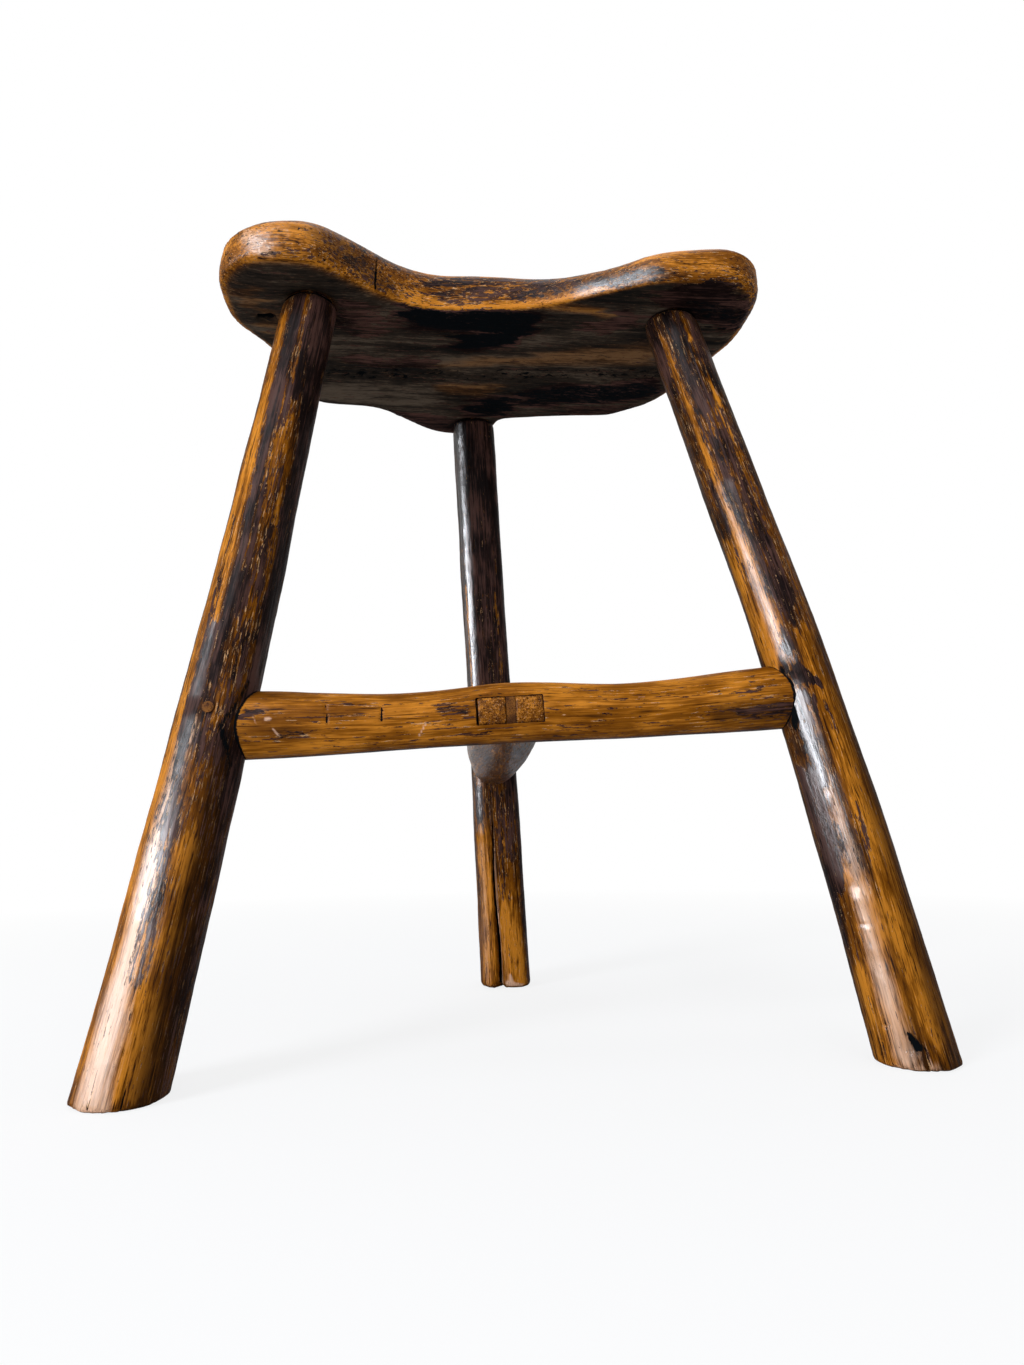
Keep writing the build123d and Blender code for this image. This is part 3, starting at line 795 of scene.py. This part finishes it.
bar = {
    "leftHeight": 182.5,
    "rightHeight": 200.0,
    "places": (0.0, 0.09, 0.32, 0.478, 0.68, 0.91, 1.0),
    "sag": (0.0, 1.2, 3.1, 1.5, 3.7, 1.2, 0.0),
    "halfDepth": (14.6, 14.52, 14.2, 15.2, 14.2, 14.52, 14.6),
    "halfHeight": (19.2, 18.5, 15.7, 17.2, 15.7, 18.5, 19.2),
    "inside": 0.022,  # the ends stop inside the legs
    "halfWidth": 16.0,  # usual half thickness: turns an angle into a width
    "rings": 300,
    "sides": 120,
    # relief as on the poles
    "sway": (0.35, (22, 22, 55), 11),
    "ridges": (0.1, (1.8, 1.8, 30), 12, 3),
    # where the tie's tenon comes through there are no hollows: x and reach in mm
    "flat": (-9, 26),
    "crackDepth": 0.9,
    "dentDepth": 0.8,
    "coat": 0.12,  # lacquer left everywhere
    "shade": 0.6,
    # painted contact shadow beside the poles
    "jointShade": 0.9,
    # a dark rim painted around the tie's tenon hole
    "tenonRim": 0.8,
    # the hole for the tie's tenon: share of the length, width and height, depth, shift
    # along x, tilt in degrees
    "holeShare": 0.478,
    "hole": (37.2, 14.8),
    "holeDepth": 60,
    "holeShift": -0.45,
    "tilt": 3.0,
    # strokes as on the poles, but angle (0 in front, 90 on top), x and half width
    "lacquer": [
        2, (0.5, -92, -165, 4, -88, 160, 4), (0.6, -125, -165, 12, -125, 160, 12),
        (0.7, 15, -152, 3, 15, -146, 3), (0.6, -22, -132, 1.8, -24, -122, 1.4),
        (0.4, -24, -118, 0.8, -22, -112, 0.8), (0.3, -45, -60, 1.2, -42, -10, 1.2),
        (0.6, -28, 120, 3, -32, 160, 5), (0.45, 8, 118, 1.6, 14, 135, 1.6),
        (0.4, 12, -108, 1.4, 10, -86, 1), (0.45, 14, -52, 1.8, 6, -32, 1.4), (0.3, 28, -5, 1, 24, 12, 1),
        (0.5, 180, -165, 20, 180, 160, 20),
    ],
    # deep: the strokes along the underside and the back are painted shade; the others are darker wood
    "deep": [
        6, (0.55, -78, -165, 4, -72, 160, 4), (0.8, -110, -165, 10, -110, 160, 10),
        (0.6, -28, 110, 6, -40, 160, 9), (0.3, 60, -160, 5, 60, -120, 3),
        (0.25, -10, -150, 7, -20, -120, 5), (0.6, 180, -165, 20, 180, 160, 20),
    ],
    "grimeAndShade": [1, (0.7, 33, -27, 0.5, 31, 12, 0.5), (0.5, -52, -2, 1.2, -50, 2, 1.2)],
    "pale": [
        0.7, (0.9, 5, -141, 1, 5, -139, 1), (0.9, -12, -137, 0.6, -24, -134, 0.6),
        (0.9, -38, -60, 0.5, -10, -56, 0.4), (0.8, 40, 58, 0.3, 41, 62, 0.3),
        (0.8, 20, 62, 0.3, 20, 66, 0.3), (0.7, 22, 38, 0.2, 22, 44, 0.2),
        (0.8, 18, -149, 0.4, -2, -146, 0.4),
    ],
    "cracks": [
        0.6, (1, 30, -110, 0.4, -4, -109, 0.5), (0.9, 16, -110, 0.4, 17, -90, 0.2),
        (1, 26, -80, 0.4, -2, -80, 0.5), (0.8, 18, -80, 0.4, 10, -60, 0.2),
        (0.6, 2, -46, 0.1, -10, -44, 0.2), (0.6, 14, -36, 0.1, 4, -32, 0.2),
        (0.7, 34, 12, 0.2, 30, 26, 0.2), (0.4, -38, -110, 0.1, -40, -40, 0.1),
        (0.5, -50, 60, 0.1, -50, 150, 0.2),
    ],
    "dents": [3, (0.6, 15, -150, 4, 12, -146, 4), (0.4, -22, -130, 3, -24, -122, 3)],
}


def barLine(share):
    # points on the bar's centre line, from the left pole to the right one
    left = poleCentre(leftPole, np.array([bar["leftHeight"]]))[0]
    right = poleCentre(rightPole, np.array([bar["rightHeight"]]))[0]
    centre = left + (right - left) * share[:, None]
    centre[:, 2] -= curveThrough(share, bar["places"], bar["sag"])
    return centre


def holeMiddle():
    middle = barLine(np.array([bar["holeShare"]]))[0]
    middle[0] += bar["holeShift"]
    return middle


def makeStretcher():
    blank = roundBlank(bar["rings"], bar["sides"])
    mesh = meshFrom(blank, "front_stretcher_bar")
    unit = readAll(mesh, "co")
    reach = np.hypot(unit[:, 0], unit[:, 1])
    turn = np.radians(turned(unit, 180))
    share = bar["inside"] + (unit[:, 2] + 0.5) * (1 - 2 * bar["inside"])
    points = barLine(share)
    x = points[:, 0].copy()
    width = bar["halfWidth"]
    straight = np.stack([width * np.cos(turn), width * np.sin(turn), x], -1)
    middle, flatReach = bar["flat"]
    joint = np.exp(-(((x - middle) / flatReach) ** 4))
    relief = raised(straight, *bar["sway"]) * (1 - joint)
    relief += raised(straight, *bar["ridges"])
    relief -= marked(bar, "cracks", turn * width, x) * bar["crackDepth"]
    relief -= marked(bar, "dents", turn * width, x) * bar["dentDepth"]
    radius = (1 + relief / width * step(reach, 0.6, 1.0)) * reach
    deep = curveThrough(share, bar["places"], bar["halfDepth"])
    tall = curveThrough(share, bar["places"], bar["halfHeight"])
    points[:, 1] -= deep * np.cos(turn) * radius
    points[:, 2] += tall * np.sin(turn) * radius
    settle(mesh, points)
    return mesh


def cutTenonHole(mesh):
    # a slot right through the bar, where the tie's tenon comes out
    middle = holeMiddle()
    wide, high = bar["hole"]
    size = Matrix.Diagonal((wide * mm, bar["holeDepth"] * mm, high * mm, 1))
    lean = Matrix.Rotation(math.radians(-bar["tilt"]), 4, "Y")
    bm = bmesh.new()
    place = Matrix.Translation((Vector(middle) + origin) * mm) @ lean @ size
    bmesh.ops.create_cube(bm, size=1.0, matrix=place)
    cutter = inScene("slot_cutter", meshFrom(bm, "slot_cutter"))
    cut = modified(mesh, "BOOLEAN", {"operation": "DIFFERENCE", "object": cutter, "solver": "EXACT"})
    bpy.data.objects.remove(cutter)
    return cut


def paintStretcher(mesh):
    points = pointsOf(mesh)
    ends = barLine(np.array([0.0, 1.0]))
    share = (points[:, 0] - ends[0, 0]) / (ends[1, 0] - ends[0, 0])
    centre = barLine(share)
    x, y, z = (points - centre).T
    tall = curveThrough(share, bar["places"], bar["halfHeight"])
    deepness = curveThrough(share, bar["places"], bar["halfDepth"])
    across = np.arctan2(z / tall, -y / deepness) * bar["halfWidth"]
    x = points[:, 0]
    grain = np.stack([z, y, x], -1)
    lacquer = bar["coat"] + marked(bar, "lacquer", *ragged(grain, across, x, 51))
    # dirt lies in the cracks; beside the poles the bar gets a painted contact shadow, and a dark rim lines
    # the tie's tenon hole
    cracks = step(marked(bar, "cracks", across, x), 0.3, 0.9)
    darkening = [marked(bar, "grimeAndShade", across, x), cracks]
    for pole in (leftPole, rightPole):
        away = points - poleCentre(pole, points[:, 2])
        gap = np.hypot(away[:, 0], away[:, 1]) - bent(points[:, 2], *pole["half"])
        darkening.append(bar["jointShade"] * (1 - step(gap, 0.3, 2.0)))
    aside, _, above = (points - holeMiddle()).T
    tilt = math.radians(bar["tilt"])
    c, s = math.cos(tilt), math.sin(tilt)
    aside, above = aside * c + above * s, above * c - aside * s
    wide, high = bar["hole"]
    away = most(np.abs(aside) - wide / 2, np.abs(above) - high / 2)
    darkening.append(bar["tenonRim"] * (1 - step(away, 0.0, 0.7)))
    paint(
        mesh, grain,
        lacquer=lacquer,
        shade=bar["shade"] + 0 * x,
        stain=most(*darkening),
        pale=marked(bar, "pale", across, x),
        deep=marked(bar, "deep", across, x),
    )


mesh = cutTenonHole(makeStretcher())
paintStretcher(mesh)
addPiece("front_stretcher_bar", mesh, stretcherWood, "front_stretcher")


# Seat

# the same lacquer with wider flakes: the eye gets dark crackled skin on the underside, and
# amber where it is rubbed through at the front
seatLook = legLook | {
    "coat": 0.035,
    "polish": 1.0,
    "layers": {
        "fibre": ((0.7, 0.7, 10), 4, 0.65, 0.0),
        "streak": ((1.6, 1.6, 30), 4, 0.62, 0.3),
        "band": ((7, 7, 120), 2, 0.5, 0.4),
        "flake": ((2.0, 2.0, 6), 6, 0.75, 0.8),
        "pore": ((0.9, 0.9, 4.0), 3, 0.6, 0.0),
        "cloud": ((20, 20, 50), 3, 0.5, 0.0),
    },
}
seatWood = wornLacquer("worn_lacquer_on_seat", seatLook)

seat = {
    "halfWidth": None,  # its strokes are all given in mm
    "voxel": 1.27,  # edge of the mesh's faces in mm, and rounds of smoothing
    "smooth": 4,
    # the lobes' lower rims are eased: reach above the underside, where the left, right and
    # rear lobes begin, way over which the easing grows, rounds
    "rim": (22.0, -60.0, 88.0, 180.0, 25.0, 140),
    "swell": 1.5,  # gives the lobes back what the easing takes
    # relief as on the poles; pits and specks have a level that the noise cuts from
    "ridges": (0.16, (2.2, 2.2, 40), 21, 3),
    "sway": (0.5, (40, 25, 60), 22),
    "pits": ((2.2, 2.2, 5), 23, 4),
    "pitLevel": 0.05,
    "specks": ((1.8, 1.8, 4), 24, 3),
    "speckLevel": 0.1,
    # the torn outlines of the lacquer, along x, y and z
    "torn": ((14.0, (5, 5, 60), 61, 3), (5.0, (14, 14, 50), 62, 3), (2.0, (6, 6, 24), 63, 3)),
    # how deep things go, in mm
    "depth": {"pitted": 0.4, "pits": 2.2, "specks": 0.6, "holes": 5.0, "cracks": 1.1},
    "frontCrackDepth": 1.2,
    # lacquer left on the sides, on top and below
    "coat": (0.3, 0.24, 0.12),
    # the wood's tone, and what the front, rubbed places and the underside add to it
    "shade": (0.5, 0.1, 0.6, 0.2),
    "darkening": {"pits": 1.6, "specks": 0.9},
    # painted shade: all that faces down is darkened
    "underShade": 0.45,
    "frontPolish": 0.03,
    # strokes on the underside: x, y and half width
    "underLacquer": [
        2.2, (0.9, -60, 62, 14, 10, 62, 14), (0.9, -30, 90, 12, 5, 76, 10),
        (0.5, -110, 116, 8, -55, 114, 8), (0.9, -15, 180, 18, 0, 175, 18),
        (0.8, 30, 160, 16, 110, 140, 16), (0.7, -70, 205, 18, -35, 215, 18), (0.6, 60, 62, 9, 80, 50, 9),
        (0.8, 120, 35, 16, 150, 45, 16), (0.8, 100, 25, 12, 130, 20, 12), (0.5, 60, 180, 8, 110, 170, 8),
        (0.5, -110, 60, 16, -90, 70, 16),
    ],
    "underSoot": [
        5, (0.7, -60, 62, 13, 10, 62, 13), (0.7, -30, 88, 11, 5, 76, 9), (0.65, -10, 178, 16, 0, 175, 16),
        (0.6, 30, 160, 14, 110, 140, 14), (0.4, -70, 205, 10, -50, 212, 10),
        (0.5, 120, 35, 12, 150, 45, 12),
    ],
    # where the underside's wood is warm, and where it is rubbed clean
    "underWarm": [
        5, (0.3, -45, 118, 3, 20, 104, 6), (0.3, 20, 104, 7, 95, 92, 14), (0.35, -40, 150, 8, -10, 150, 8),
        (0.9, -75, 34, 2, 60, 44, 2), (0.3, -170, 40, 6, -150, 90, 8),
    ],
    "underBare": [3, (0.3, -40, 116, 8, 85, 96, 12), (0.3, -135, 164, 16, -60, 160, 14)],
    "underCracks": [
        0.8, (1, 128, 55, 0.4, 160, 59, 0.6), (0.7, -130, 146, 0.4, -60, 139, 0.3),
        (0.6, -125, 124, 0.3, -45, 118, 0.3), (0.6, -110, 177, 0.3, -82, 174, 0.3),
        (0.4, -130, 65, 0.2, -80, 66, 0.2),
    ],
    "underHoles": [1.2, (1, -163, 69, 3.2, -157, 68, 3), (0.3, 68, 98, 2.5, 70, 99, 2.5)],
    "pitted": [4, (1, -126, 134, 8, -9, 129, 8, 113, 118, 9)],
    # strokes on the front: x, z and half width
    "frontLacquer": [
        2.2, (0.32, -60, 476, 3, 40, 480, 4), (0.34, -48, 467, 5, 34, 471, 6),
        (0.25, -100, 484, 5, -70, 488, 3), (0.2, -104, 470, 5, -82, 464, 5), (0.4, 48, 462, 4, 84, 465, 4),
        (0.5, 38, 452, 2, 90, 455, 3), (0.4, 150, 456, 6, 170, 458, 6), (0.4, 95, 453, 3, 150, 455, 3),
        (0.3, -120, 492, 4, -85, 484, 3),
    ],
    # the strokes low on the lobes and at the left end are painted shade where the faces turn under and
    # away; the others are darker wood
    "frontDeep": [
        5, (0.3, -150, 460, 3, -118, 462, 3), (0.5, -118, 478, 9, -84, 466, 6),
        (0.4, 140, 455, 6, 170, 460, 7), (0.4, 60, 484, 4, 90, 486, 4), (0.5, -165, 486, 4, -100, 490, 4),
        (0.3, -190, 462, 6, -186, 476, 5),
    ],
    "frontBare": [
        3, (0.4, -75, 459, 1.5, 60, 459, 1.5), (0.2, 90, 475, 8, 140, 478, 8),
        (0.15, -190, 468, 9, -130, 476, 9),
    ],
    # painted highlights on the left lobe and the waist's right front
    "frontHighlight": [4, (0.6, -162, 474, 5, -150, 462, 5), (0.35, 48, 461, 3, 82, 461, 3)],
    "frontGloss": [
        5, (0.36, -160, 473, 6, -150, 464, 7), (0.6, 46, 460, 7, 84, 463, 7),
        (0.12, -150, 476, 5, -110, 478, 5),
    ],
    "frontCracks": [0.8, (1, -88, 457, 0.9, -87, 482, 0.4), (0.6, 31, 478, 0.2, 32, 464, 0.1)],
}


def easeRims(mesh):
    # rounds the lower edge of the lobes more than the waist's
    reach, left, right, rear, grow, rounds = seat["rim"]
    before = pointsOf(mesh)
    x, y, z = before.T
    share = most(step(left - x, 0, grow), step(x - right, 0, grow), step(y - rear, 0, grow))
    share *= z < underside + reach
    bm = bmesh.new()
    bm.from_mesh(mesh)
    rim = [vert for vert, part in zip(bm.verts, share) if part > 0]
    for again in range(rounds):
        bmesh.ops.smooth_vert(
            bm, verts=rim, factor=0.5, use_axis_x=True, use_axis_y=True, use_axis_z=True
        )
    bm.to_mesh(mesh)
    bm.free()
    settle(mesh, before + (pointsOf(mesh) - before) * share[:, None])


def makeSeat():
    mesh = evenCopy("seat", seat["voxel"], seat["smooth"])
    easeRims(mesh)
    points = pointsOf(mesh)
    normal = readAll(mesh, "normal")
    x, y, z = points.T
    grain = np.stack([y, z, x], -1)
    # how far each point belongs to the underside, the top, the sides and the front
    below = step(-normal[:, 2], 0.35, 0.97)
    above = step(normal[:, 2], 0.6, 0.9)
    side = np.clip(1 - below - above, 0, 1)
    front = step(-normal[:, 1], 0.0, 0.4) * (1 - below)
    depth = seat["depth"]
    pitted = marked(seat, "pitted", x, y) * below
    underCracks = marked(seat, "underCracks", x, y) * below
    frontCracks = marked(seat, "frontCracks", x, z) * front
    holes = marked(seat, "underHoles", x, y) * below
    relief = raised(grain, *seat["ridges"]) + raised(grain, *seat["sway"])
    pits = np.clip(lumps(grain, *seat["pits"]) - seat["pitLevel"], 0, 1)
    lobes = most(step(-x, 80, 120), step(x, 110, 140))
    relief += seat["swell"] * lobes * (1 - step(np.abs(normal[:, 2]), 0.3, 0.9))
    specks = np.clip(lumps(grain, *seat["specks"]) - seat["speckLevel"], 0, 1) * lobes * side
    relief -= pitted * (depth["pitted"] + pits * depth["pits"]) + specks * depth["specks"]
    relief -= holes * depth["holes"]
    relief -= underCracks * depth["cracks"] + frontCracks * seat["frontCrackDepth"]
    settle(mesh, points + normal * relief[:, None])

    onSide, onTop, onUnderside = seat["coat"]
    lacquer = onSide * side + onTop * above + onUnderside * below
    tone, frontTone, bareTone, underTone = seat["shade"]
    shade = tone + frontTone * front
    tornX, tornY, tornZ = (
        place + raised(grain, *torn) for place, torn in zip((x, y, z), seat["torn"])
    )
    for mask, up, kind in ((below, tornY, "under"), (front, tornZ, "front")):
        lacquer += mask * marked(seat, kind + "Lacquer", tornX, up)
        bare = mask * marked(seat, kind + "Bare", tornX, up)
        lacquer -= bare
        shade += bare * bareTone
    darkening = seat["darkening"]
    stain = most(
        pitted * pits * darkening["pits"],
        holes,
        specks * darkening["specks"],
        step(most(underCracks, frontCracks), 0.3, 0.8),
        below * marked(seat, "underSoot", tornX, tornY),
    )
    # the dry wood faces down, and its dark colour is partly painted shade
    dry = step(-normal[:, 2], 0.7, 0.99) * (1 - marked(seat, "underWarm", tornX, tornY))
    # pale paints highlights on the front; deep paints shade on the underside and where the lobes turn
    # under
    paint(
        mesh, grain,
        lacquer=lacquer,
        shade=shade + underTone * below * (1 - dry),
        stain=stain,
        pale=front * marked(seat, "frontHighlight", x, z),
        dry=dry,
        deep=most(below * seat["underShade"], front * marked(seat, "frontDeep", x, z)),
        gloss=front * (seat["frontPolish"] + marked(seat, "frontGloss", x, z)),
    )
    return mesh


addPiece("saddle_seat", makeSeat(), seatWood, "seat")


# Tie to the rear leg, with its through tenon

# the same lacquer, satin, with a painted sheen on the tie's left side: the eye gets a soft dull brown
tieWood = wornLacquer("satin_lacquer_with_painted_sheen_on_tie", legLook | {"coat": 0.08})

tie = {
    "voxel": 0.8,  # edge of the mesh's faces in mm, and rounds of smoothing
    "smooth": 3,
    "tenonEnd": (10, 24),  # y where the square tenon ends and where the bar is full
    "sway": (0.3, (14, 14, 40), 31),
    "ridges": (0.12, (2, 2, 26), 32, 3),
    "right": (-30, 20),  # x where the right side begins and is full
    # lacquer left on the bar, more on its right side, and on the tenon
    "coat": (0.3, 0.4, 0.1),
    # a painted sheen on the tie's left side, which also gets more gloss
    "leftSheen": 0.35,  # on its left side
    # the bar's tone and depth, and what the tenon adds
    "shade": (0.5, 0.05),
    "deep": (0.3, -0.1),
}


def makeTie():
    mesh = evenCopy("rear_tie", tie["voxel"], tie["smooth"])
    points = pointsOf(mesh)
    normal = readAll(mesh, "normal")
    x, y, z = points.T
    grain = np.stack([x, z, y], -1)
    tenon = 1 - step(y, *tie["tenonEnd"])
    relief = raised(grain, *tie["sway"]) * (1 - tenon) + raised(grain, *tie["ridges"])
    settle(mesh, points + normal * relief[:, None])
    right = step(x, *tie["right"])
    onBar, onRight, onTenon = tie["coat"]
    leftSheen = tie["leftSheen"] * (1 - right) * (1 - tenon)
    # the pale share carries the painted sheen on the left side
    paint(
        mesh, grain,
        lacquer=(onRight * right + onBar) * (1 - tenon) + onTenon * tenon,
        shade=tie["shade"][0] + tie["shade"][1] * tenon,
        pale=leftSheen,
        deep=tie["deep"][0] + tie["deep"][1] * tenon,
        gloss=leftSheen,
    )
    return mesh


addPiece("rear_tie_bar", makeTie(), tieWood, "rear_tie")

wedgeLook = {
    # noises: lump size in mm, detail, where the lighter side starts and is full; real pores
    # are too fine to show and so drawn coarser
    "pores": (0.6, 4.0, 0.36, 0.48),
    "patches": (5.0, 3.0, 0.38, 0.62),
    "dark": "#4A2A12",
    "light": "#7C4C1C",
    "pit": "#1C0E08",
    "rough": 0.6,
    "specular": 0.03,
    "bump": 0.6,
    "skin": 0.3,
}
wedgeWood = endGrain("split_wedge_wood", wedgeLook)
for node, solid in frame["nodes"].items():
    if "wedge" in node or "peg" in node:
        solid.data.materials.clear()
        solid.data.materials.append(wedgeWood)
print("wedges and pegs finished")


# Studio: camera, light, floor

camera = {
    # in mm from between the front feet, and the directions of the picture's right and up
    "place": (-58.197, -452.550, 125.346),
    "right": (0.99449, -0.10360, -0.01618),
    "up": (-0.00161, -0.16937, 0.98555),
    "lens": 22.41,  # focal length and the sensor's height, in mm
    "sensor": 36.0,
    "near": 0.01,  # where the view begins, in metres
}
lens = bpy.data.cameras.new("camera")
lens.lens = camera["lens"]
lens.sensor_fit = "VERTICAL"
lens.sensor_height = camera["sensor"]
lens.clip_start = camera["near"]
eye = inScene("camera", lens)
right = Vector(camera["right"]).normalized()
up = (Vector(camera["up"]) - right * right.dot(Vector(camera["up"]))).normalized()
turn = Matrix([right, up, right.cross(up)]).transposed().to_4x4()
eye.matrix_world = Matrix.Translation((Vector(camera["place"]) + origin) * mm) @ turn
bpy.context.scene.camera = eye

lampColour = "#F4F8FF"
lamps = {
    # place and aim in metres, size in metres, power in watts, and whether it lights
    # surfaces or only shows in their gloss
    "window": ((-1.3, -1.1, 1.2), (0.0, 0.0, 0.25), (0.55, 0.6), 26.0, True),
    "sheen": ((-1.7, -1.0, 0.3), (0.0, 0.0, 0.2), (1.8, 0.7), 170.0, False),
    "glint": ((-0.8, -1.1, 1.3), (0.0, -0.1, 0.46), (0.5, 0.4), 32.0, False),
    "front": ((0.3, -2.0, 1.1), (0.0, 0.0, 0.25), (1.2, 1.2), 10.0, True),
    "top": ((0.0, 0.1, 2.0), (0.0, 0.0, 0.3), (1.4, 1.4), 14.0, True),
}
for name, (place, aim, size, power, lights) in lamps.items():
    lamp = bpy.data.lights.new(name, "AREA")
    lamp.shape = "RECTANGLE"
    lamp.size, lamp.size_y = size
    lamp.energy = power
    lamp.color = linear(lampColour)[:3]
    holder = inScene(name, lamp)
    holder.visible_diffuse = lights
    holder.location = place
    holder.rotation_euler = (Vector(aim) - Vector(place)).to_track_quat("-Z", "Y").to_euler()

studio = {
    # what lights the stool, and what the camera sees behind it
    "ambient": "#E6ECF4",
    "ambientStrength": 0.35,
    "background": "#FFFFFF",
    # the floor's half width and colour, where it starts and ends to fade into the
    # background, both in metres, and its share of plain white there
    "floor": 6.0,
    "paper": "#E7E7E7",
    "fade": (0.3, 1.2),
    "white": (0.82, 1.0),
}
world = bpy.data.worlds.new("studio")
bpy.context.scene.world = world
world.use_nodes = True
world.node_tree.nodes.clear()
# camera, mirrored and refracted rays see the background, all others the ambient light
seen = addNode(world, "LightPath", {}, {}, 0)
for ray in ("Is Glossy Ray", "Is Transmission Ray"):
    other = addNode(world, "LightPath", {}, {}, ray)
    seen = addNode(world, "Math", {"operation": "MAXIMUM"}, {0: seen, 1: other})
inputs = {"Color": linear(studio["ambient"]), "Strength": studio["ambientStrength"]}
ambient = addNode(world, "Background", {}, inputs)
plain = {"Color": linear(studio["background"]), "Strength": 1.0}
white = addNode(world, "Background", {}, plain)
sky = addNode(world, "MixShader", {}, {0: seen, 1: ambient, 2: white})
addNode(world, "OutputWorld", {}, {"Surface": sky})

# matt white paper: the eye gets a white floor with a soft shadow near the stool, which
# fades into the background further out
paper = emptyMaterial("matt_white_paper")
place = addNode(paper, "TexCoord", {}, {}, 3)
away = addNode(paper, "VectorMath", {"operation": "LENGTH"}, {0: place}, 1)
inputs = dict(zip(("From Min", "From Max", "To Min", "To Max"), studio["fade"] + studio["white"]))
inputs["Value"] = away
fade = addNode(paper, "MapRange", {}, inputs)
toCamera = addNode(paper, "LightPath", {}, {}, 0)
share = addNode(paper, "Math", {"operation": "MULTIPLY"}, {0: toCamera, 1: fade})
matt = addNode(paper, "BsdfDiffuse", {}, {"Color": linear(studio["paper"])})
glow = addNode(paper, "Emission", {}, plain)
surface = addNode(paper, "MixShader", {}, {0: share, 1: matt, 2: glow})
addNode(paper, "OutputMaterial", {}, {"Surface": surface})
bm = bmesh.new()
bmesh.ops.create_grid(bm, x_segments=1, y_segments=1, size=studio["floor"])
floorMesh = bpy.data.meshes.new("floor")
bm.to_mesh(floorMesh)
bm.free()
floorMesh.materials.append(paper)
floor = inScene("floor", floorMesh)

bpy.context.scene.view_settings.view_transform = "Standard"
bpy.context.view_layer.update()
print("studio set, scene finished")
